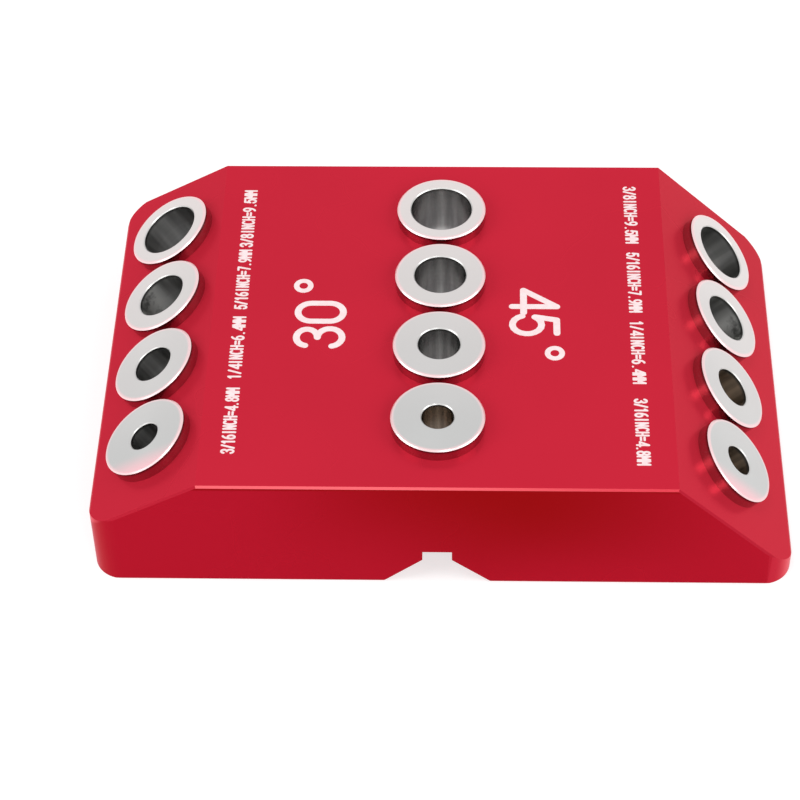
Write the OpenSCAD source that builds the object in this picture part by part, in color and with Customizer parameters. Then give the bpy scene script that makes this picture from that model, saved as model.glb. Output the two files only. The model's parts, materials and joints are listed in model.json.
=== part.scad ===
// Angled drill guide: an aluminium block with a flat top and a slope on each side, and twelve
// flanged steel bushes in three rows of four. The bushes lead a drill into the work at 30 degrees
// from upright on the left, upright in the middle and 45 degrees on the right. The V groove
// under the block seats it on round bars and on corners.
// The origin is the middle of the base. X runs across the rows, Y along them and Z is up.

/* [Block] */
// Width of the block, across the rows
block_w = 105; // [98:1:125]
// Depth of the block, along the rows
block_d = 70; // [64:1:90]
// Height of the block, from its base to its flat top
block_h = 21; // [20:0.5:27]
// Radius of the four upright corners
corner_r = 4.5; // [2:0.5:8]
// Width of the broken edges round the top and the slopes
edge_break = 0.3; // [0.2:0.05:0.8]
// Width of the broken edges round the base
base_break = 0.15; // [0.1:0.05:0.4]

/* [Slopes] */
// Slope of the left side, which is also how far its holes lean from upright
left_angle = 30; // [25:1:34]
// Slope of the right side, which is also how far its holes lean from upright
right_angle = 45; // [40:1:47]
// Height of the left side wall, from the base to the foot of its slope
left_wall_h = 11.3; // [10:0.1:13]
// Height of the right side wall, from the base to the foot of its slope
right_wall_h = 2.9; // [2:0.1:5]

/* [V groove] */
// Width of the V groove at the base
groove_w = 16.2; // [13:0.2:18]
// Angle between the two sides of the V groove
groove_angle = 100; // [84:1:110]
// Radius of the two rounded edges at the mouth of the V groove
groove_mouth_r = 1.6; // [0.4:0.1:2.5]
// Width of the relief slot at the top of the V groove
slot_w = 4.4; // [3:0.2:6]
// Depth of the relief slot, above the V
slot_depth = 1.8; // [1:0.1:2.4]

/* [Rows of holes] */
// Distance between neighbouring holes of a row
hole_pitch = 15; // [14.6:0.1:17]
// Distance up a slope, from its middle to the middle of its holes
row_lift = 0.7; // [-1:0.1:1.5]

/* [Drill bushes] */
// Drill that fits the largest bushes, 3/8 inch
drill_three_eighths = 9.525; // [9:0.005:10]
// Drill that fits the second bushes, 5/16 inch
drill_five_sixteenths = 7.938; // [7.5:0.001:8.5]
// Drill that fits the third bushes, 1/4 inch
drill_quarter = 6.35; // [6:0.01:7]
// Drill that fits the smallest bushes, 3/16 inch
drill_three_sixteenths = 4.763; // [4:0.001:5.5]
// How much wider a bush is bored than its drill
drill_play = 0.08; // [0.04:0.02:0.2]
// Diameter of a bush's flange
flange_d = 14; // [13:0.1:14.5]
// Thickness of a bush's flange, which stands proud of the block
flange_t = 2; // [1.5:0.1:3]
// Diameter of a bush's shank, which is pressed into the block
shank_d = 12; // [11.4:0.1:12.6]
// Width of the chamfer round the rim of a flange
rim_break = 0.2; // [0.1:0.05:0.5]
// Width of the chamfer at both ends of a bush's bore
mouth_break = 0.15; // [0.1:0.05:0.5]
// Width of the chamfer that leads a shank into its hole
lead_break = 0.5; // [0.2:0.05:0.8]
// Depth of the relief groove round a shank, under its flange
relief_depth = 0.25; // [0.1:0.05:0.4]
// Height of the relief groove round a shank, under its flange
relief_h = 0.9; // [0.5:0.1:1.5]
// Least height of a bush's foot above the base, or above the slot of the V groove
foot_gap = 0.8; // [0.4:0.1:2]
// Width of the chamfer at the mouth of each hole in the block, under the flange
seat_break = 0.3; // [0.1:0.05:0.6]

/* [Hidden] */
$fn = 96;
// How far a cut runs past the face that it starts from
overrun = 1;
// Flats in a rounded edge of the V groove
mouth_steps = 8;

// Widths of the two slopes, seen from above
left_run = (block_h - left_wall_h) / tan(left_angle);
right_run = (block_h - right_wall_h) / tan(right_angle);

// The flat top lies between these two edges, and the middle row and the V groove halve it
left_edge = -block_w / 2 + left_run;
right_edge = block_w / 2 - right_run;
middle_x = (left_edge + right_edge) / 2;

// X and Z of the middle of a sloping row's holes, on the face of the block
left_row_x = left_edge - left_run / 2 + row_lift * cos(left_angle);
left_row_z = (block_h + left_wall_h) / 2 + row_lift * sin(left_angle);
right_row_x = right_edge + right_run / 2 - row_lift * cos(right_angle);
right_row_z = (block_h + right_wall_h) / 2 + row_lift * sin(right_angle);

groove_h = (groove_w - slot_w) / 2 / tan(groove_angle / 2);
slot_top = groove_h + slot_depth;

// One line for each row: its name, X and Z of its holes' middles on the face of the block,
// how far it leans to the right, and the height of what lies open under it
rows = [
    ["left", left_row_x, left_row_z, -left_angle, 0],
    ["middle", middle_x, block_h, 0, slot_top],
    ["right", right_row_x, right_row_z, right_angle, 0],
];

// The four sizes of a row, from the back of the block to its front
sizes = [
    ["three_eighths", drill_three_eighths],
    ["five_sixteenths", drill_five_sixteenths],
    ["quarter", drill_quarter],
    ["three_sixteenths", drill_three_sixteenths],
];

// All bushes are of one length: the longest shank that clears what is under every row
shank_len = min([for (row = rows) shank_room(row)]);

function row_name(row) = row[0];
function row_x(row) = row[1];
function row_z(row) = row[2];
function row_lean(row) = row[3];
function row_floor(row) = row[4];
function size_name(size) = size[0];
function bore_d(size) = size[1] + drill_play;
function bush_name(row, size) = str("bush_", row_name(row), "_", size_name(size));

// The room for a shank below the face of the block, measured along the lean of its row
function shank_room(row) =
    (row_z(row) - row_floor(row) - foot_gap) / cos(row_lean(row))
    - shank_d / 2 * tan(abs(row_lean(row)));

// The Y place of a hole, counted from the back, in a row that is centred on the block
function hole_y(index) = ((len(sizes) - 1) / 2 - index) * hole_pitch;

// A corner of an outline, cut off at the same distance along both of its sides
function toward(from, to, distance) = from + (to - from) * distance / norm(to - from);
function broken_corner(before, corner, after, width) =
    [toward(corner, before, width), toward(corner, after, width)];

// A point of the rounding that starts on the base at x, after it has turned this far
function mouth_round(x, turned) =
    [x - groove_mouth_r * sin(turned), groove_mouth_r * (1 - cos(turned))];

// Puts a child on the face of the block, at one hole of a row, with its Z along the drill
module at_hole(row, index) {
    translate([row_x(row), hole_y(index), row_z(row)])
        rotate([0, row_lean(row), 0])
            children();
}

// Puts an outline that is drawn in X and Z through the block, from front to back
module along_rows(length) {
    rotate([90, 0, 0])
        linear_extrude(height = length, center = true)
            children();
}

// Outline of the block seen from the front, with its four outer edges broken
module front_outline() {
    foot_left = [-block_w / 2, 0];
    foot_right = [block_w / 2, 0];
    wall_right = [block_w / 2, right_wall_h];
    top_right = [right_edge, block_h];
    top_left = [left_edge, block_h];
    wall_left = [-block_w / 2, left_wall_h];
    polygon(concat(
        broken_corner(wall_left, foot_left, foot_right, base_break),
        broken_corner(foot_left, foot_right, wall_right, base_break),
        broken_corner(foot_right, wall_right, top_right, edge_break),
        [top_right, top_left],
        broken_corner(top_left, wall_left, foot_left, edge_break)
    ));
}

// Outline of the block seen from above, with round corners
module plan_outline() {
    square([block_w - 2 * corner_r, block_d], center = true);
    square([block_w, block_d - 2 * corner_r], center = true);
    for (side_x = [-1, 1], side_y = [-1, 1])
        translate([side_x * (block_w / 2 - corner_r), side_y * (block_d / 2 - corner_r)])
            circle(r = corner_r);
}

// The V groove with its relief slot and the rounded edges of its mouth, drawn in X and Z
module groove_outline() {
    side_rise = 90 - groove_angle / 2;
    round_x = groove_w / 2 + groove_mouth_r * tan(side_rise / 2);
    right_half = concat(
        [[round_x, -overrun]],
        [for (k = [0 : mouth_steps]) mouth_round(round_x, side_rise * k / mouth_steps)],
        [[slot_w / 2, groove_h], [slot_w / 2, slot_top]]
    );
    left_half = [for (i = [len(right_half) - 1 : -1 : 0]) [-right_half[i].x, right_half[i].y]];
    translate([middle_x, 0])
        polygon(concat(right_half, left_half));
}

// Breaks the front and the back edge of a face that passes through x and z and leans to the right
module broken_edges(x, z, lean, width) {
    for (side = [-1, 1])
        translate([x, side * block_d / 2, z])
            rotate([0, lean, 0])
                rotate([45, 0, 0])
                    cube([2 * block_w, sqrt(2) * width, sqrt(2) * width], center = true);
}

// A hole for one bush, bored through to the base and chamfered where the flange seats
module bush_hole(row) {
    depth = row_z(row) / cos(row_lean(row)) + shank_d / 2 * tan(abs(row_lean(row))) + overrun;
    translate([0, 0, -depth])
        cylinder(h = depth + overrun, d = shank_d);
    translate([0, 0, -seat_break])
        cylinder(h = seat_break + overrun, d1 = shank_d, d2 = shank_d + 2 * (seat_break + overrun));
}

module block() {
    color([0.79, 0.12, 0.19])
        difference() {
            intersection() {
                along_rows(block_d + 2 * overrun) front_outline();
                linear_extrude(height = block_h + overrun) plan_outline();
            }
            along_rows(block_d + 2 * overrun) groove_outline();
            broken_edges(left_edge, block_h, -left_angle, edge_break);
            broken_edges(middle_x, block_h, 0, edge_break);
            broken_edges(right_edge, block_h, right_angle, edge_break);
            broken_edges(middle_x, 0, 0, base_break);
            for (row = rows, index = [0 : len(sizes) - 1])
                at_hole(row, index) bush_hole(row);
        }
}

// A flanged bush, turned about Z, with its flange seated at Z = 0 and its shank below
module bush(bore) {
    bore_r = bore / 2;
    shank_r = shank_d / 2;
    neck_r = shank_r - relief_depth;
    rim_r = flange_d / 2;
    color([0.80, 0.81, 0.82])
        rotate_extrude()
            polygon([
                [bore_r, mouth_break - shank_len],
                [bore_r + mouth_break, -shank_len],
                [shank_r - lead_break, -shank_len],
                [shank_r, lead_break - shank_len],
                [shank_r, -relief_h],
                [neck_r, relief_depth - relief_h],
                [neck_r, 0],
                [rim_r, 0],
                [rim_r, flange_t - rim_break],
                [rim_r - rim_break, flange_t],
                [bore_r + mouth_break, flange_t],
                [bore_r, flange_t - mouth_break],
            ]);
}

block();
for (row = rows, index = [0 : len(sizes) - 1])
    at_hole(row, index) bush(bore_d(sizes[index]));
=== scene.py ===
"""Looks of the angled drill guide: red anodised aluminium, turned steel bushes and white print."""
import json
from collections import namedtuple
from math import cos, pi, radians, sin

import bmesh
import bpy
from mathutils import Matrix, Vector
from mathutils.geometry import delaunay_2d_cdt

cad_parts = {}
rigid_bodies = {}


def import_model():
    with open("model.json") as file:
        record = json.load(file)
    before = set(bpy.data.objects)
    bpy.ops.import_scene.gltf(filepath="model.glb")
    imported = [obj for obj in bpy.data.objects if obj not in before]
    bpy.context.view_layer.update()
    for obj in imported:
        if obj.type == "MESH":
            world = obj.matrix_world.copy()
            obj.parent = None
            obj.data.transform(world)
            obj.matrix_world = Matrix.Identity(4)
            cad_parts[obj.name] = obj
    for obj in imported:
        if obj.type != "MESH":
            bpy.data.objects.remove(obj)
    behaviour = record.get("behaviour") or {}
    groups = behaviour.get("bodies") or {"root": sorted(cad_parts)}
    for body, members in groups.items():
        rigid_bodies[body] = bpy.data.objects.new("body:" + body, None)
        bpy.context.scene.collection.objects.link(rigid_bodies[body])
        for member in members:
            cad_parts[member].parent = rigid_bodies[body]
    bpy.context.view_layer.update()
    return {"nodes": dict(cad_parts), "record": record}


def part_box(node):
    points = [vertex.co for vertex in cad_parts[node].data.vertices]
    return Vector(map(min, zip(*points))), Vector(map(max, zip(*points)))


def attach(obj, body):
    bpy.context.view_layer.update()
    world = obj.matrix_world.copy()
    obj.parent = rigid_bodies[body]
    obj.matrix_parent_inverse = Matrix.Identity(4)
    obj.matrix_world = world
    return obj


MM = 0.001


def clear_scene():
    """Removes what Blender starts with."""
    for item in list(bpy.data.objects):
        bpy.data.objects.remove(item)


clear_scene()
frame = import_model()

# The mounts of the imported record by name, with places in metres and radii in millimetres
MOUNTS = {mount["name"]: mount for mount in frame["record"]["mounts"]}

# A row of bushes: X and Z of the middles of its holes on the face of the block, in metres, and X
# and Z of the direction in which its holes point up
Row = namedtuple("Row", "x z up_x up_z")


def packed_row(name):
    """A row as the frame has it, from the mount of its largest bush."""
    mount = MOUNTS[f"drill_{name}_three_eighths"]
    (x, _, z), (up_x, _, up_z) = mount["pos_m"], mount["axis"]
    return Row(x, z, up_x, up_z)


ROWS = {name: packed_row(name) for name in ("left", "middle", "right")}

# The sloping rows, and the side of their holes that looks away from the middle of the block
OUTER_SIDES = {"left": -1.0, "right": 1.0}

# Sizes that the frame gives, in millimetres: from the middle of the block to its end and to the
# last hole of a row, from one hole to the next, and the radius of a 5/16 inch bore
HALF_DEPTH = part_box("block")[1].y / MM
HALF_ROW = MOUNTS["drill_left_three_eighths"]["pos_m"][1] / MM
HOLE_PITCH = HALF_ROW - MOUNTS["drill_left_five_sixteenths"]["pos_m"][1] / MM
FIVE_SIXTEENTHS_RADIUS = MOUNTS["drill_left_five_sixteenths"]["dims"]["r_mm"]

# The radii of the block's holes and of its upright corners, in millimetres, as the CAD has them
HOLE_RADIUS = 6.0
CORNER_RADIUS = 4.5

# Bushes whose bores still have the brown film of their hardening
FILMED_BUSHES = ("bush_middle_three_sixteenths", "bush_right_quarter", "bush_right_three_sixteenths")


class Graph:
    """Short ways to build a shader's nodes."""

    def __init__(self, tree):
        self.tree = tree

    def node(self, kind, inputs=(), **settings):
        """A new node, with values or links for some of its inputs."""
        made = self.tree.nodes.new(kind)
        for name, value in settings.items():
            setattr(made, name, value)
        for key, value in dict(inputs).items():
            self.feed(made.inputs[key], value)
        return made

    def feed(self, socket, value):
        """Links a socket to another one, or sets its plain value."""
        if isinstance(value, bpy.types.NodeSocket):
            self.tree.links.new(value, socket)
        else:
            socket.default_value = value

    def math(self, operation, first, second=0.0, clamp=False):
        """What an operation makes of one or two plain values."""
        made = self.node("ShaderNodeMath", {0: first, 1: second}, operation=operation, use_clamp=clamp)
        return made.outputs[0]

    def unsigned(self, value):
        """A value without its sign."""
        return self.math("ABSOLUTE", value)

    def times(self, first, *others):
        """The product of two or more values."""
        for other in others:
            first = self.math("MULTIPLY", first, other)
        return first

    def vector_math(self, operation, first, second=(0.0, 0.0, 0.0)):
        """What an operation makes of one or two vectors."""
        made = self.node("ShaderNodeVectorMath", {0: first, 1: second}, operation=operation)
        return made.outputs["Value" if operation in ("DOT_PRODUCT", "LENGTH") else "Vector"]

    def between(self, value, low, high):
        """Goes smoothly from 0 at low to 1 at high."""
        made = self.node(
            "ShaderNodeMapRange",
            {"Value": value, "From Min": low, "From Max": high},
            interpolation_type="SMOOTHSTEP",
        )
        return made.outputs[0]

    def between_mm(self, length, low, high):
        """The same for a length in metres, between limits in millimetres."""
        return self.between(length, low * MM, high * MM)

    def mix(self, share, first, second, kind="RGBA"):
        """The first colour where the share is 0, and the second one where it is 1."""
        made = self.node("ShaderNodeMix", data_type=kind)
        # The node has sockets for every kind: these are the places of the two ends and the result
        *places, result = {"RGBA": (6, 7, 2), "FLOAT": (2, 3, 0)}[kind]
        self.feed(made.inputs[0], share)
        for place, value in zip(places, (first, second)):
            if kind == "RGBA" and isinstance(value, tuple):
                value = (*value, 1.0)
            self.feed(made.inputs[place], value)
        return made.outputs[result]

    def mix_plain(self, share, first, second):
        """The same for two plain values."""
        return self.mix(share, first, second, kind="FLOAT")

    def noise(self, vector, scale, detail=2.0, roughness=0.5):
        """Soft, uneven patches from 0 to 1."""
        made = self.node(
            "ShaderNodeTexNoise",
            {"Vector": vector, "Scale": scale, "Detail": detail, "Roughness": roughness},
        )
        return made.outputs["Fac"]

    def bump(self, height, depth, strength):
        """The normal of a surface with this height, times the depth in millimetres."""
        made = self.node(
            "ShaderNodeBump", {"Height": height, "Distance": depth * MM, "Strength": strength}
        )
        return made.outputs["Normal"]

    def part(self, vector, axis):
        """One of a vector's three values."""
        return self.node("ShaderNodeSeparateXYZ", {0: vector}).outputs[axis]

    def combine(self, x, y, z):
        """A vector of three values."""
        return self.node("ShaderNodeCombineXYZ", {0: x, 1: y, 2: z}).outputs[0]

    def place(self):
        """A point of the surface in the part's frame, in metres."""
        return self.node("ShaderNodeTexCoord").outputs["Object"]

    def true_normal(self):
        """The direction that the surface itself faces, without bump."""
        return self.node("ShaderNodeNewGeometry").outputs["True Normal"]


def new_material(name):
    """A material with its node graph and its main shader."""
    material = bpy.data.materials.new(name)
    material.use_nodes = True
    return material, Graph(material.node_tree), material.node_tree.nodes["Principled BSDF"]


def shaded(colour, *shares):
    """Darker or paler copies of a colour, one for each share."""
    return [tuple(share * channel for channel in colour) for share in shares]


def hole_place(graph, row):
    """Where a point lies on its nearest hole of a row: the place across the hole, the height along
    its axis, both in metres, and how square the surface lies to the axis."""
    x, z, up_x, up_z = ROWS[row]
    level = (up_z, 0.0, -up_x)
    axis = (up_x, 0.0, up_z)
    place = graph.place()
    moved = graph.vector_math("SUBTRACT", place, (x, 0.0, z))
    turns = graph.math("DIVIDE", graph.part(place, "Y"), HOLE_PITCH * MM)
    along = graph.times(graph.math("SUBTRACT", graph.math("FRACT", turns), 0.5), HOLE_PITCH * MM)
    across = graph.combine(graph.vector_math("DOT_PRODUCT", moved, level), along, 0.0)
    height = graph.vector_math("DOT_PRODUCT", moved, axis)
    square = graph.vector_math("DOT_PRODUCT", graph.true_normal(), axis)
    return across, height, square


# The block. Lengths are in millimetres. Each pair of limits says where a share is still 0 and
# where it reaches 1.

# Colours of the block: the dye on the milled faces, painted shade on the sawn ends in a lighter and a
# darker tone, a painted highlight on the top's broken edges and the round corners, and painted shade
# on the slopes' broken edges. The last one is bare metal.
ANODISED_RED = (0.583, 0.0195, 0.0425)
END_SHADE_PALE = (0.475, 0.005, 0.021)
END_SHADE_DEEP = (0.325, 0.0, 0.002)
EDGE_HIGHLIGHT = (0.92, 0.14, 0.165)
SLOPE_EDGE_SHADE = (0.47, 0.015, 0.033)
BARE_GREY = (0.55, 0.55, 0.56)

# The faint clouds in the dye: their scale, detail and limits, and how dark the dye is outside them
CLOUD_SCALE = 30.0
CLOUD_DETAIL = 3.0
CLOUD_LIMITS = (0.3, 0.7)
CLOUD_SHADE = 0.95

# The satin surface, which is a little smoother in the clouds, and its fine grain
SATIN_ROUGHNESS = (0.29, 0.25)
SATIN_METALLIC = 0.30
SATIN_SPECULAR = 0.06
SATIN_TINT = (1.0, 0.25, 0.34, 1.0)
GRAIN_SCALE = 4500.0
GRAIN_DETAIL = 2.0
GRAIN_ROUGHNESS = 0.6
GRAIN_DEPTH = 0.02
GRAIN_STRENGTH = 0.25

# The walls of the holes: how far past the hole's radius and past the end of a row they are
# looked for, and how square they may lie to the axis
WALL_REACH = (0.1, 0.03)
WALL_SQUARE = (0.4, 0.3)
ROW_REACH = 0.5

# The broken front and back edges, by the parts of their normal: clear of the faces, clear of the
# ends, turned up, and level along X
EDGE_OFF_FACE = (0.5, 0.65)
EDGE_OFF_END = (0.9, 0.8)
EDGE_UP = (0.2, 0.4)
EDGE_LEVEL = (0.3, 0.1)

# A painted highlight makes the top's broken edges pale: fully from the second X to the left, and
# only by the least share from the first X to the right
HIGHLIGHT_LIMITS = (35.0, -12.0)
HIGHLIGHT_LEAST = 0.25

# The sawn ends, by how square they lie to Y: where they start on the left and on the right, and
# where they are full
END_SQUARE_LEFT = 0.4
END_SQUARE_RIGHT = 0.97
END_SQUARE_FULL = 0.995

# The painted glint on the round corners: its limits outward from where a corner starts and inward
# from the end of the block, how far a wall may tip from upright, the wedge's slope and softness, and
# its share
GLINT_START = (0.0, 0.8)
GLINT_END = (0.3, 2.0)
UPRIGHT_LIMITS = (0.3, 0.2)
WEDGE_SLOPE = 0.53
WEDGE_LIMITS = (0.25, -0.25)
GLINT_SHARE = 0.58

# The darker painted shade on an end: its middle in X, its limits aside from there and in height, and
# the fine line of painted shade under the broken edge
SHADE_MIDDLE_X = 10.0
SHADE_ASIDE = (46.0, 4.0)
SHADE_HEIGHT = (-6.0, 22.0)
SHADE_LINE = (20.0, 20.6)

# The patches that move these limits, and how far they do it in all
SHADE_PATCH_SCALE = 25.0
SHADE_UNEVEN = 20.0


def bored_share(graph):
    """1 on the walls of the holes through the block, and 0 elsewhere."""
    share = 0.0
    for row in ROWS:
        across, _, square = hole_place(graph, row)
        radius = graph.vector_math("LENGTH", across)
        close = graph.between_mm(radius, *(HOLE_RADIUS + reach for reach in WALL_REACH))
        wall = graph.between(graph.unsigned(square), *WALL_SQUARE)
        share = graph.math("MAXIMUM", share, graph.times(close, wall))
    from_middle = graph.unsigned(graph.part(graph.place(), "Y"))
    row_end = HALF_ROW + HOLE_RADIUS
    return graph.times(share, graph.between_mm(from_middle, row_end + ROW_REACH, row_end))


def broken_shares(graph):
    """How much of a point lies on the broken front and back edges: of the top, which take a painted
    highlight, less to the right, and of the slopes, which take painted shade."""
    normal = graph.true_normal()
    tipped = graph.unsigned(graph.part(normal, "Y"))
    edge = graph.times(
        graph.between(tipped, *EDGE_OFF_FACE),
        graph.between(tipped, *EDGE_OFF_END),
        graph.between(graph.part(normal, "Z"), *EDGE_UP),
    )
    level = graph.between(graph.unsigned(graph.part(normal, "X")), *EDGE_LEVEL)
    highlight_fade = graph.between_mm(graph.part(graph.place(), "X"), *HIGHLIGHT_LIMITS)
    pale = graph.times(level, graph.mix_plain(highlight_fade, HIGHLIGHT_LEAST, 1.0))
    return graph.times(edge, pale), graph.times(edge, graph.math("SUBTRACT", 1.0, level))


def end_share(graph):
    """1 on the sawn ends of the profile that the block is cut from, where shade is painted, and 0
    elsewhere. It fades out round the left corners, and stops short at the right ones."""
    squareness = graph.unsigned(graph.part(graph.true_normal(), "Y"))
    right = graph.math("GREATER_THAN", graph.part(graph.place(), "X"), 0.0)
    start = graph.mix_plain(right, END_SQUARE_LEFT, END_SQUARE_RIGHT)
    return graph.between(squareness, start, END_SQUARE_FULL)


def wedge_share(graph, x, y, z):
    """1 in a wedge under the left slope, which narrows to the front end, and 0 elsewhere."""
    left = ROWS["left"]
    rise = graph.times(graph.math("SUBTRACT", x, left.x), -left.up_x / left.up_z)
    under = graph.math("SUBTRACT", graph.math("ADD", rise, left.z), z)
    from_end = graph.math("SUBTRACT", HALF_DEPTH * MM, graph.unsigned(y))
    past = graph.math("SUBTRACT", under, graph.times(from_end, WEDGE_SLOPE))
    front = graph.math("LESS_THAN", y, 0.0)
    return graph.times(graph.between_mm(past, *WEDGE_LIMITS), front)


def corner_share(graph):
    """How much of the painted glint the round upright corners take: the right ones all over, and the
    front left one in a wedge under the slope."""
    x, y, z = (graph.part(graph.place(), axis) for axis in "XYZ")
    upright = graph.between(graph.unsigned(graph.part(graph.true_normal(), "Z")), *UPRIGHT_LIMITS)
    from_middle = graph.unsigned(y)
    corner_start = HALF_DEPTH - CORNER_RADIUS
    turned = graph.times(
        graph.between_mm(from_middle, *(corner_start + outward for outward in GLINT_START)),
        graph.between_mm(from_middle, *(HALF_DEPTH - inward for inward in GLINT_END)),
    )
    right = graph.math("GREATER_THAN", x, 0.0)
    lit = graph.math("MAXIMUM", right, wedge_share(graph, x, y, z))
    return graph.times(turned, lit, upright, GLINT_SHARE)


def end_shade_share(graph):
    """How dark the painted shade is on an end: darkest high up in the middle, with soft, uneven
    limits, and in a fine line under the broken edge."""
    place = graph.place()
    height = graph.part(place, "Z")
    patches = graph.math("SUBTRACT", graph.noise(place, SHADE_PATCH_SCALE, 1.0), 0.5)
    uneven = graph.times(patches, SHADE_UNEVEN * MM)
    aside = graph.unsigned(graph.math("SUBTRACT", graph.part(place, "X"), SHADE_MIDDLE_X * MM))
    near = graph.between_mm(graph.math("ADD", aside, uneven), *SHADE_ASIDE)
    high = graph.between_mm(graph.math("ADD", height, uneven), *SHADE_HEIGHT)
    line = graph.between_mm(height, *SHADE_LINE)
    return graph.math("MAXIMUM", graph.times(near, high), line)


def anodised_colour(graph, clouds, bored):
    """The dye with its clouds, painted shade on the ends and the slopes' broken edges, painted
    highlights on the top's broken edges and the corners, and bare metal in the holes.
    """
    colour = graph.mix(clouds, *shaded(ANODISED_RED, CLOUD_SHADE, 1.0))
    # Painted shade on the ends: paler, and darker high up in the middle and in a line under the edge
    colour = graph.mix(end_share(graph), colour, graph.mix(end_shade_share(graph), END_SHADE_PALE, END_SHADE_DEEP))
    top_edge, slope_edge = broken_shares(graph)
    # Painted shade on the slopes' broken edges
    colour = graph.mix(slope_edge, colour, SLOPE_EDGE_SHADE)
    # Painted highlights on the top's broken edges and on the round corners
    colour = graph.mix(graph.math("MAXIMUM", top_edge, corner_share(graph)), colour, EDGE_HIGHLIGHT)
    return graph.mix(bored, colour, BARE_GREY)


def anodised_material():
    """Satin red anodising with a fine, even grain. The holes were bored after it, so their walls
    are bare aluminium."""
    material, graph, shader = new_material("anodised_red")
    place = graph.place()
    clouds = graph.between(graph.noise(place, CLOUD_SCALE, CLOUD_DETAIL), *CLOUD_LIMITS)
    grain = graph.noise(place, GRAIN_SCALE, GRAIN_DETAIL, GRAIN_ROUGHNESS)
    bored = bored_share(graph)
    graph.feed(shader.inputs["Base Color"], anodised_colour(graph, clouds, bored))
    graph.feed(shader.inputs["Roughness"], graph.mix_plain(clouds, *SATIN_ROUGHNESS))
    graph.feed(shader.inputs["Metallic"], graph.mix_plain(bored, SATIN_METALLIC, 1.0))
    graph.feed(shader.inputs["Normal"], graph.bump(grain, GRAIN_DEPTH, GRAIN_STRENGTH))
    shader.inputs["Specular IOR Level"].default_value = SATIN_SPECULAR
    shader.inputs["Specular Tint"].default_value = SATIN_TINT
    return material


# The bushes. Lengths are in millimetres, and heights start on the block's face.

# The face is grey in front and pale behind, a painted reflection. The fade is how fast the one
# turns into the other, for each metre of Y. The turned rings go from one shade of the grey to the
# other.
STEEL_GREY = (0.58, 0.58, 0.575)
STEEL_SHEEN = (0.765, 0.71, 0.70)
STEEL_FADE = 20.0
RING_SHADES = (0.96, 1.04)
RING_SCALE = 9000.0
RING_DEPTH = 0.01
RING_STRENGTH = 0.3
TURNED_ANISOTROPY = 0.4

# The rim of the face and its two chamfers: a painted highlight, pink as a painted reflection of
# the block, on the rim and its chamfer, and a plain tone on the chamfer of the bore
RIM_HIGHLIGHT = (0.92, 0.66, 0.675)
MOUTH_PALE = (0.60, 0.59, 0.58)
RIM_HIGHLIGHT_LIMITS = (6.35, 6.75)
RIM_HIGHLIGHT_SHARE = 0.8
RIM_LIMITS = (6.5, 6.6)

# The painted red reflection on the faces of the two front bushes on the slopes, by Y
FACE_BLUSH = (0.93, 0.56, 0.60)
BLUSH_LIMITS = (-25.5, -29.3)
BLUSH_SHARE = 0.9

# The flange's side, darkened and tinted red as painted shade and a painted reflection of the block,
# with a painted shadow line right under the rim, which the top of the bore has too
SIDE_SHADE_RED = (0.46, 0.31, 0.33)
LIP_SHADE_LINE = (0.16, 0.11, 0.11)
LIP_LIMITS = (1.2, 1.7)

# Roughness of the sides and of the faces
SIDE_ROUGHNESS = 0.14
FACE_ROUGHNESS = 0.34

# What a surface is, by how square it lies to the axis
FACE_SQUARE = (0.9, 0.98)
UPWARD_SQUARE = (0.4, 0.6)
BORE_SQUARE = (0.5, 0.3)
CHAMFER_OFF_SIDE = (0.5, 0.6)
CHAMFER_OFF_FACE = (0.9, 0.8)

# Walls inside these radii belong to a bore
BORE_LIMITS = (5.3, 5.2)

# The bore: its two tones without film and with it, how bright the bores of each row are, which is
# painted light and shade, how rough they are, and the painted shadow line round the top of a bore
BORE_DARK = (0.24, 0.24, 0.235)
BORE_PALE = (0.56, 0.56, 0.55)
FILM_DARK = (0.29, 0.245, 0.20)
FILM_PALE = (0.68, 0.57, 0.465)
BORE_ROW_SHADE = {"left": 1.0, "middle": 0.85, "right": 1.05}
BORE_ROUGHNESS = {"left": 0.30, "middle": 0.22, "right": 0.31}
BORE_LIP_SHADE = (0.16, 0.16, 0.155)

# The streaks that run down a bore, the turns that the drill left in it, and the share of the turns
STREAKS_AROUND = 3.0
STREAK_DRAW = 60.0
STREAK_SCALE = 0.8
STREAK_LIMITS = (0.35, 0.65)
TURN_SCALE = 1400.0
TURN_SHARE = 0.35

# The painted light at the foot of a bore
BORE_FOOT_LIGHT = (1.0, 1.0, 0.99)
FOOT_LIMITS = (-5.5, -8.0)

# The painted highlights in a 5/16 inch bore: how far off its radius they are looked for, how far
# out they start and are full as a share of the radius, the same by height, and their blots
BORE_HIGHLIGHT = (1.0, 1.0, 0.97)
PATCH_OFF_RADIUS = (0.3, 0.2)
PATCH_OUTWARD = (0.2, 0.8)
PATCH_HEIGHT = (-5.0, 0.0)
BLOT_SCALE = 420.0
BLOT_DETAIL = 3.0
BLOT_ROUGHNESS = 0.6
BLOT_LIMITS = (0.36, 0.56)


def turned_tangent(graph, row, across):
    """The direction that lies square to the turned grain: out from the axis on a face, and along
    the axis in a bore."""
    aside, along = graph.part(across, "X"), graph.part(across, "Y")
    level = graph.times(along, -ROWS[row].up_z)
    round_axis = graph.combine(level, aside, graph.times(along, ROWS[row].up_x))
    round_axis = graph.vector_math("NORMALIZE", round_axis)
    return graph.vector_math("CROSS_PRODUCT", graph.true_normal(), round_axis)


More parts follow.
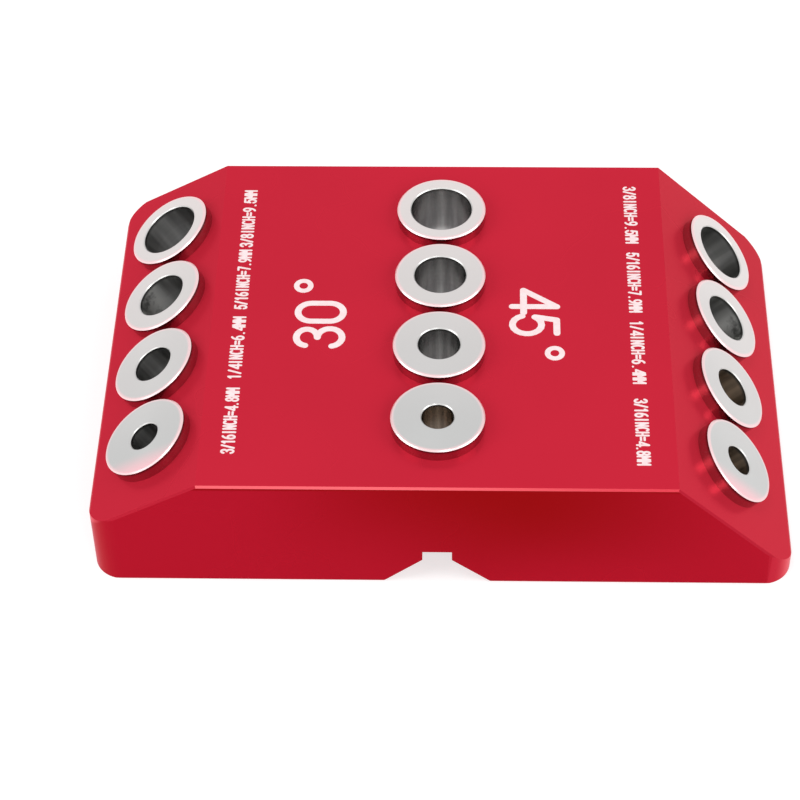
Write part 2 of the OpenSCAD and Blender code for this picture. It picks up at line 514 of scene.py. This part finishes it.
def bore_highlight_share(graph, row, across, radius, height):
    """1 on the painted highlights in the 5/16 inch bore of a sloping row, on its outer side."""
    off = graph.unsigned(graph.math("SUBTRACT", radius, FIVE_SIXTEENTHS_RADIUS * MM))
    outward = graph.times(graph.part(across, "X"), OUTER_SIDES[row])
    on_wall = graph.combine(graph.part(across, "Y"), height, 0.0)
    blots = graph.noise(on_wall, BLOT_SCALE, BLOT_DETAIL, BLOT_ROUGHNESS)
    return graph.times(
        graph.between_mm(off, *PATCH_OFF_RADIUS),
        graph.between_mm(outward, *(share * FIVE_SIXTEENTHS_RADIUS for share in PATCH_OUTWARD)),
        graph.between(blots, *BLOT_LIMITS),
        graph.between_mm(height, *PATCH_HEIGHT),
    )


def face_colour(graph, row, radius, rings):
    """The flange's face: fine rings, paler to the back as a painted reflection, and a rim with a
    painted highlight. On the slopes, a painted red reflection lies on the front of it."""
    along = graph.part(graph.place(), "Y")
    colour = graph.mix(rings, *shaded(STEEL_GREY, *RING_SHADES))
    # Painted reflection: the face turns paler to the back
    fade = graph.math("ADD", 0.5, graph.times(along, STEEL_FADE), clamp=True)
    colour = graph.mix(fade, colour, STEEL_SHEEN)
    # A painted highlight on the rim
    rim_lit = graph.between_mm(radius, *RIM_HIGHLIGHT_LIMITS)
    colour = graph.mix(graph.times(rim_lit, RIM_HIGHLIGHT_SHARE), colour, RIM_HIGHLIGHT)
    if row in OUTER_SIDES:
        # A painted red reflection on the front of the face
        blush = graph.between_mm(along, *BLUSH_LIMITS)
        colour = graph.mix(graph.times(blush, BLUSH_SHARE), colour, FACE_BLUSH)
    return colour


def bore_colour(graph, row, film, across, radius, height):
    """A drilled, streaky bore, with or without a brown film, and with painted light at its foot."""
    outward = graph.vector_math("NORMALIZE", across)
    around = graph.vector_math("MULTIPLY", outward, (STREAKS_AROUND,) * 3)
    drawn = graph.combine(0.0, 0.0, graph.times(height, STREAK_DRAW))
    streaks = graph.noise(graph.vector_math("ADD", around, drawn), STREAK_SCALE)
    streaks = graph.between(streaks, *STREAK_LIMITS)
    turns = graph.noise(graph.combine(graph.times(height, TURN_SCALE), 0.0, 0.0), 1.0)
    tones = (FILM_DARK, FILM_PALE) if film else (BORE_DARK, BORE_PALE)
    # Each row's bores are darker or paler: painted light and shade
    dark, pale = (shaded(tone, BORE_ROW_SHADE[row])[0] for tone in tones)
    colour = graph.mix(graph.mix_plain(TURN_SHARE, streaks, turns), dark, pale)
    if row in OUTER_SIDES:
        # Painted highlights on the outer side of the 5/16 inch bores of the slopes
        colour = graph.mix(bore_highlight_share(graph, row, across, radius, height), colour, BORE_HIGHLIGHT)
    # Painted light at the foot of the bore, broken up by the turns
    foot = graph.between_mm(height, *FOOT_LIMITS)
    return graph.mix(graph.times(foot, turns), colour, BORE_FOOT_LIGHT)


def bush_material(row, film):
    """Turned steel: fine rings on the flange's face, a painted highlight on the rim and its chamfer,
    a plain chamfer at the bore, and a drilled bore.
    """
    material, graph, shader = new_material(f"turned_steel_{row}" + ("_filmed" if film else ""))
    across, height, square = hole_place(graph, row)
    radius = graph.vector_math("LENGTH", across)
    rings = graph.noise(graph.combine(graph.times(radius, RING_SCALE), 0.0, 0.0), 1.0)
    inside = graph.between_mm(radius, *BORE_LIMITS)
    bore = graph.times(inside, graph.between(graph.unsigned(square), *BORE_SQUARE))
    chamfer = graph.times(
        graph.between(square, *CHAMFER_OFF_SIDE), graph.between(square, *CHAMFER_OFF_FACE)
    )
    under_lip = graph.between_mm(height, *LIP_LIMITS)

    # Painted shade and red reflection on the side, and a painted shadow line under the rim
    side = graph.mix(under_lip, SIDE_SHADE_RED, LIP_SHADE_LINE)
    face = graph.between(square, *FACE_SQUARE)
    outside = graph.mix(face, side, face_colour(graph, row, radius, rings))
    # The rim's chamfer takes the painted highlight, and the bore's chamfer a plain tone
    chamfer_tone = graph.mix(graph.between_mm(radius, *RIM_LIMITS), MOUTH_PALE, RIM_HIGHLIGHT)
    outside = graph.mix(chamfer, outside, chamfer_tone)
    # The painted shadow line under the rim runs round the top of the bore too
    within = graph.mix(under_lip, bore_colour(graph, row, film, across, radius, height), BORE_LIP_SHADE)
    graph.feed(shader.inputs["Base Color"], graph.mix(bore, outside, within))

    rough = graph.mix_plain(graph.between(square, *UPWARD_SQUARE), SIDE_ROUGHNESS, FACE_ROUGHNESS)
    graph.feed(shader.inputs["Roughness"], graph.mix_plain(bore, rough, BORE_ROUGHNESS[row]))
    graph.feed(shader.inputs["Normal"], graph.bump(rings, RING_DEPTH, RING_STRENGTH))
    graph.feed(shader.inputs["Tangent"], turned_tangent(graph, row, across))
    shader.inputs["Anisotropic"].default_value = TURNED_ANISOTROPY
    shader.inputs["Metallic"].default_value = 1.0
    return material


def finish_cad_nodes(nodes):
    """Gives the block and the bushes their materials."""
    nodes["block"].material_slots[0].material = anodised_material()
    steels = {}
    for row in ROWS:
        for name in [name for name in nodes if name.startswith(f"bush_{row}_")]:
            kind = (row, name in FILMED_BUSHES)
            if kind not in steels:
                steels[kind] = bush_material(*kind)
            nodes[name].material_slots[0].material = steels[kind]


# The white print on the flat top. Lengths are in millimetres.

# The ink, the share of its green and blue that is left where it lies thin, and its patches
PRINT_WHITE = (0.93, 0.80, 0.81)
THIN_INK = 0.9
INK_PATCH_SCALE = 900.0
INK_PATCH_DETAIL = 3.0
INK_PATCH_LIMITS = (0.35, 0.65)

# The ink's uneven surface
INK_DEPTH = 0.01
INK_STRENGTH = 0.2
INK_ROUGHNESS = 0.5

# How far a plate of ink stands out of the block and reaches into it
MARK_PROUD = 0.03
MARK_SUNK = 0.02

# Points of the outlines that lie closer than this are one, and faces that meet at less than this
# angle, in degrees, become one
SAME_POINT = 0.00001
SAME_FACE_ANGLE = 1.0

ANGLE_MARK_HEIGHT = 7.0
ANGLE_MARK_STROKE = 1.05
DEGREE_RADIUS = 1.1
DEGREE_STROKE = 0.85

# Each angle: its name, its digits with their starts along the line, the middle of its degree
# ring, X and Y of the line's start, and 1 if it reads to the back or -1 if it reads to the front
ANGLE_MARKS = (
    ("mark_30_degrees", (("3", 0.1), ("0", 5.55)), (13.3, 6.4), (-15.5, -6.5), 1),
    ("mark_45_degrees", (("4", 0.0), ("5", 5.75)), (13.7, 6.4), (10.5, 6.2), -1),
)

SIZE_MARK_HEIGHT = 1.78
SIZE_MARK_STROKE = 0.34
SIZE_MARK_LENGTH = 13.3
SIZE_MARK_LEFT_X = -30.55
SIZE_MARK_RIGHT_X = 28.6

# The share of a character's pitch that the character fills
SIZE_MARK_WIDTH_SHARE = 0.72

# Each size: its name, its text, and the Y of its middle beside the left and the right row
SIZE_MARKS = (
    ("three_eighths", "3/8INCH=9.5MM", 22.1, 23.4),
    ("five_sixteenths", "5/16INCH=7.9MM", 8.2, 8.0),
    ("quarter", "1/4INCH=6.4MM", -6.7, -7.15),
    ("three_sixteenths", "3/16INCH=4.8MM", -21.8, -23.5),
)


def print_material():
    """White ink, thin enough to let a little of the red through."""
    material, graph, shader = new_material("white_print")
    patches = graph.noise(graph.place(), INK_PATCH_SCALE, INK_PATCH_DETAIL)
    patches = graph.between(patches, *INK_PATCH_LIMITS)
    thin = (PRINT_WHITE[0], THIN_INK * PRINT_WHITE[1], THIN_INK * PRINT_WHITE[2])
    graph.feed(shader.inputs["Base Color"], graph.mix(patches, thin, PRINT_WHITE))
    graph.feed(shader.inputs["Normal"], graph.bump(patches, INK_DEPTH, INK_STRENGTH))
    shader.inputs["Roughness"].default_value = INK_ROUGHNESS
    return material


def arc(centre, radii, start, end, steps=16):
    """Points along an ellipse, from one angle to another, in degrees."""
    turns = [radians(start + (end - start) * k / steps) for k in range(steps + 1)]
    return [(centre[0] + radii[0] * cos(turn), centre[1] + radii[1] * sin(turn)) for turn in turns]


def loop(centre, radii):
    """The two halves of a closed stroke, which meet at their ends."""
    return [arc(centre, radii, start, start + 180) for start in (0, 180)]


# Centre lines of the characters, where the height is 1: each character is a list of strokes
GLYPHS = {
    "0": [
        arc((0.28, 0.70), (0.28, 0.30), 0, 180) + arc((0.28, 0.30), (0.28, 0.30), 180, 270),
        [(0.56, 0.70)] + arc((0.28, 0.30), (0.28, 0.30), 0, -90),
    ],
    "1": [[(0.10, 0.80), (0.30, 1.0)], [(0.30, 1.0), (0.30, 0.0)]],
    "3": [
        arc((0.28, 0.77), (0.25, 0.23), 172, -90),
        arc((0.28, 0.27), (0.27, 0.27), 90, -168),
    ],
    "4": [[(0.53, 0.98), (0.02, 0.25)], [(0.02, 0.25), (0.72, 0.25)], [(0.53, 0.98), (0.53, 0.0)]],
    "5": [
        [(0.53, 0.97), (0.12, 0.97)],
        [(0.12, 0.97), (0.03, 0.50)],
        arc((0.27, 0.32), (0.28, 0.32), 147, -161),
    ],
    "6": [*loop((0.28, 0.29), (0.26, 0.29)), arc((0.50, 0.33), (0.48, 0.67), 100, 180)],
    "7": [[(0.02, 1.0), (0.54, 1.0)], [(0.54, 1.0), (0.20, 0.0)]],
    "8": loop((0.28, 0.76), (0.22, 0.24)) + loop((0.28, 0.26), (0.27, 0.26)),
    "9": [*loop((0.28, 0.71), (0.26, 0.29)), arc((0.06, 0.67), (0.48, 0.67), 0, -80)],
    "/": [[(0.05, 0.0), (0.50, 1.0)]],
    "=": [[(0.05, 0.35), (0.50, 0.35)], [(0.05, 0.65), (0.50, 0.65)]],
    ".": [[(0.27, 0.0), (0.29, 0.0)]],
    "C": [arc((0.32, 0.50), (0.28, 0.50), 50, 310, steps=24)],
    "H": [[(0.04, 0.0), (0.04, 1.0)], [(0.52, 0.0), (0.52, 1.0)], [(0.04, 0.5), (0.52, 0.5)]],
    "I": [[(0.28, 0.0), (0.28, 1.0)]],
    "M": [
        [(0.02, 0.0), (0.02, 1.0)],
        [(0.02, 1.0), (0.29, 0.4)],
        [(0.29, 0.4), (0.56, 1.0)],
        [(0.56, 1.0), (0.56, 0.0)],
    ],
    "N": [[(0.04, 0.0), (0.04, 1.0)], [(0.04, 1.0), (0.52, 0.0)], [(0.52, 0.0), (0.52, 1.0)]],
}

# The width of most characters, where the height is 1
GLYPH_WIDTH = 0.56


def ribbon(points, width, cap_steps=8):
    """Outline of a stroke of this width round a centre line, with round ends."""
    points = [Vector(point) for point in points]
    headings = []
    for k in range(len(points)):
        before, after = points[max(k - 1, 0)], points[min(k + 1, len(points) - 1)]
        headings.append((after - before).normalized())
    sides = [Vector((-heading.y, heading.x)) * width / 2 for heading in headings]

    def cap(centre, side):
        return [centre + Matrix.Rotation(-pi * k / cap_steps, 2) @ side for k in range(1, cap_steps)]

    left = [point + side for point, side in zip(points, sides)]
    right = [point - side for point, side in zip(points, sides)]
    clockwise = left + cap(points[-1], sides[-1]) + right[::-1] + cap(points[0], -sides[0])
    return clockwise[::-1]


def union_of(outlines):
    """Triangles that fill what the outlines cover together, as points and faces."""
    points, faces = [], []
    for outline in outlines:
        faces.append(list(range(len(points), len(points) + len(outline))))
        points += outline
    points = [Vector(point) for point in points]
    # Form 0 fills the whole hull, and a triangle outside all outlines has no origin among them
    made = delaunay_2d_cdt(points, [], faces, 0, SAME_POINT)
    corners, _, triangles, _, _, origins = made
    return corners, [triangle for triangle, origin in zip(triangles, origins) if origin]


def ink_plate(outlines, to_block):
    """A thin closed plate on the flat top. to_block turns a point of the outlines into X and Y."""
    corners, triangles = union_of(outlines)
    mesh = bmesh.new()
    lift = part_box("block")[1].z + MARK_PROUD * MM
    places = [to_block(corner) for corner in corners]
    tops = [mesh.verts.new((x * MM, y * MM, lift)) for x, y in places]
    faces = [mesh.faces.new([tops[i] for i in triangle]) for triangle in triangles]
    for vertex in [vertex for vertex in mesh.verts if not vertex.link_faces]:
        mesh.verts.remove(vertex)
    bmesh.ops.recalc_face_normals(mesh, faces=faces)
    if sum(face.normal.z for face in mesh.faces) < 0:
        bmesh.ops.reverse_faces(mesh, faces=mesh.faces)
    flat = radians(SAME_FACE_ANGLE)
    bmesh.ops.dissolve_limit(mesh, angle_limit=flat, verts=mesh.verts, edges=mesh.edges)
    grown = bmesh.ops.extrude_face_region(mesh, geom=mesh.faces[:], use_keep_orig=True)
    foot = [item for item in grown["geom"] if isinstance(item, bmesh.types.BMVert)]
    bmesh.ops.translate(mesh, verts=foot, vec=(0.0, 0.0, -(MARK_PROUD + MARK_SUNK) * MM))
    bmesh.ops.recalc_face_normals(mesh, faces=mesh.faces)
    return mesh


def print_mark(name, outlines, foot, reading, material):
    """One piece of print. The outlines are those of upright text, and their origin comes to the
    foot. The text then reads to the back if reading is 1, and to the front if it is -1."""

    def to_block(point):
        return foot[0] - reading * point[1], foot[1] + reading * point[0]

    mesh = ink_plate(outlines, to_block)
    data = bpy.data.meshes.new(name)
    mesh.to_mesh(data)
    mesh.free()
    data.materials.append(material)
    piece = bpy.data.objects.new(name, data)
    bpy.context.scene.collection.objects.link(piece)
    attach(piece, "root")


def strokes(character, start, width, height, stroke):
    """Outlines of a character's strokes, from its start along the line."""
    return [
        ribbon([(start + u * width, v * height) for u, v in line], stroke)
        for line in GLYPHS[character]
    ]


def angle_mark(name, digits, degree_place, foot, reading, material):
    """A large angle on the top: digits and a degree ring."""
    outlines = []
    for digit, start in digits:
        outlines += strokes(digit, start, ANGLE_MARK_HEIGHT, ANGLE_MARK_HEIGHT, ANGLE_MARK_STROKE)
    outlines += [ribbon(half, DEGREE_STROKE) for half in loop(degree_place, (DEGREE_RADIUS,) * 2)]
    print_mark(name, outlines, foot, reading, material)


def size_mark(name, text, middle, reading, material):
    """A small line of text that names one bush's drill, with the line's middle at this place."""
    pitch = SIZE_MARK_LENGTH / len(text)
    width = SIZE_MARK_WIDTH_SHARE * pitch / GLYPH_WIDTH
    outlines = []
    for k, character in enumerate(text):
        start = (k + (1 - SIZE_MARK_WIDTH_SHARE) / 2) * pitch - SIZE_MARK_LENGTH / 2
        outlines += strokes(character, start, width, SIZE_MARK_HEIGHT, SIZE_MARK_STROKE)
    print_mark(name, outlines, middle, reading, material)


def print_marks():
    """All the print on the flat top."""
    material = print_material()
    for mark in ANGLE_MARKS:
        angle_mark(*mark, material)
    for size, text, left_y, right_y in SIZE_MARKS:
        size_mark(f"mark_left_{size}", text, (SIZE_MARK_LEFT_X, left_y), 1, material)
        size_mark(f"mark_right_{size}", text, (SIZE_MARK_RIGHT_X, right_y), -1, material)


# The floor, the light and the camera

# The floor: its size and how far it lies under the block, both in metres, the share of the light
# that it sends back to the object, and the tone and glow with which it is seen
FLOOR_SIZE = 1.8
FLOOR_DROP = 0.00005
FLOOR_BOUNCE = 0.70
FLOOR_SHOWN = 0.46
FLOOR_GLOW = 0.66
FLOOR_ROUGHNESS = 0.9
WHITE = (1.0, 1.0, 1.0, 1.0)

# The light from all around on what isn't a mirror
SKY_STRENGTH = 0.55

# Each lamp: its name, azimuth and elevation in degrees, distance and size in metres, and watts.
# Azimuth 0 is in front of the object, and 90 on its right.
LAMPS = (
    ("left_softbox", -75.0, 35.0, 1.2, 0.8, 4.2),
    ("right_softbox", 75.0, 35.0, 1.2, 0.8, 4.2),
    ("high_key", -40.0, 72.0, 1.2, 0.4, 2.4),
    ("front_key", 19.0, 29.0, 1.2, 0.35, 2.1),
)

# The camera, fitted to the photograph: angles in degrees, lens and sensor in millimetres, and
# distance and target in millimetres of the part's frame
CAMERA_ELEVATION = 46.83
CAMERA_AZIMUTH = 2.26
CAMERA_ROLL = -1.27
CAMERA_DISTANCE = 400.09
CAMERA_TARGET = (-6.68, -8.98, 12.0)
CAMERA_LENS = 116.98
SENSOR_WIDTH = 36.0

# The nearest and the farthest that the camera sees, in metres
CAMERA_CLIP = (0.01, 100.0)


def shown_share(graph):
    """1 for rays from the camera, and for those that gloss or clear material sends on."""
    path = graph.node("ShaderNodeLightPath")
    share = path.outputs["Is Camera Ray"]
    for other in ("Is Glossy Ray", "Is Transmission Ray"):
        share = graph.math("MAXIMUM", share, path.outputs[other])
    return share


def floor_material():
    """Plain white that keeps the object's shadow. Its glow is seen, straight on or mirrored, and
    lights nothing."""
    material, graph, shader = new_material("floor_white")
    shown = shown_share(graph)
    graph.feed(shader.inputs["Base Color"], graph.mix(shown, (FLOOR_BOUNCE,) * 3, (FLOOR_SHOWN,) * 3))
    shader.inputs["Roughness"].default_value = FLOOR_ROUGHNESS
    shader.inputs["Specular IOR Level"].default_value = 0.0
    shader.inputs["Emission Color"].default_value = WHITE
    graph.feed(shader.inputs["Emission Strength"], graph.times(shown, FLOOR_GLOW))
    return material


def make_floor():
    """A square floor under the object."""
    half = FLOOR_SIZE / 2
    signs = ((-1, -1), (1, -1), (1, 1), (-1, 1))
    data = bpy.data.meshes.new("floor")
    data.from_pydata([(x * half, y * half, -FLOOR_DROP) for x, y in signs], [], [(0, 1, 2, 3)])
    data.materials.append(floor_material())
    floor = bpy.data.objects.new("floor", data)
    bpy.context.scene.collection.objects.link(floor)


def make_world():
    """White where it is seen, and a weaker light from all around."""
    world = bpy.data.worlds.new("studio")
    bpy.context.scene.world = world
    world.use_nodes = True
    graph = Graph(world.node_tree)
    sky = world.node_tree.nodes["Background"]
    sky.inputs["Color"].default_value = WHITE
    graph.feed(sky.inputs["Strength"], graph.mix_plain(shown_share(graph), SKY_STRENGTH, 1.0))


def sight_line(azimuth, elevation):
    """The direction from the object to a point at this azimuth and elevation, in degrees."""
    turned, raised = radians(azimuth), radians(elevation)
    return Vector((sin(turned) * cos(raised), -cos(turned) * cos(raised), sin(raised)))


def make_lamps():
    """Square lamps that face the object."""
    for name, azimuth, elevation, distance, size, power in LAMPS:
        lamp = bpy.data.lights.new(name, "AREA")
        lamp.size, lamp.energy = size, power
        holder = bpy.data.objects.new(name, lamp)
        bpy.context.scene.collection.objects.link(holder)
        way = sight_line(azimuth, elevation)
        holder.location = way * distance
        holder.rotation_euler = way.to_track_quat("Z", "Y").to_euler()


def make_camera():
    """The camera that took the photograph, as far as it could be fitted."""
    back = sight_line(CAMERA_AZIMUTH, CAMERA_ELEVATION)
    level = Vector((cos(radians(CAMERA_AZIMUTH)), sin(radians(CAMERA_AZIMUTH)), 0.0))
    upright = back.cross(level)
    roll = radians(CAMERA_ROLL)
    right = level * cos(roll) + upright * sin(roll)
    up = upright * cos(roll) - level * sin(roll)
    data = bpy.data.cameras.new("camera")
    data.lens, data.sensor_width = CAMERA_LENS, SENSOR_WIDTH
    data.clip_start, data.clip_end = CAMERA_CLIP
    camera = bpy.data.objects.new("camera", data)
    bpy.context.scene.collection.objects.link(camera)
    turn = Matrix((right, up, back)).transposed().to_4x4()
    spot = (Vector(CAMERA_TARGET) + back * CAMERA_DISTANCE) * MM
    camera.matrix_world = Matrix.Translation(spot) @ turn
    bpy.context.scene.camera = camera


make_camera()
finish_cad_nodes(frame["nodes"])
print_marks()
make_floor()
make_world()
make_lamps()
bpy.context.scene.view_settings.view_transform = "Standard"
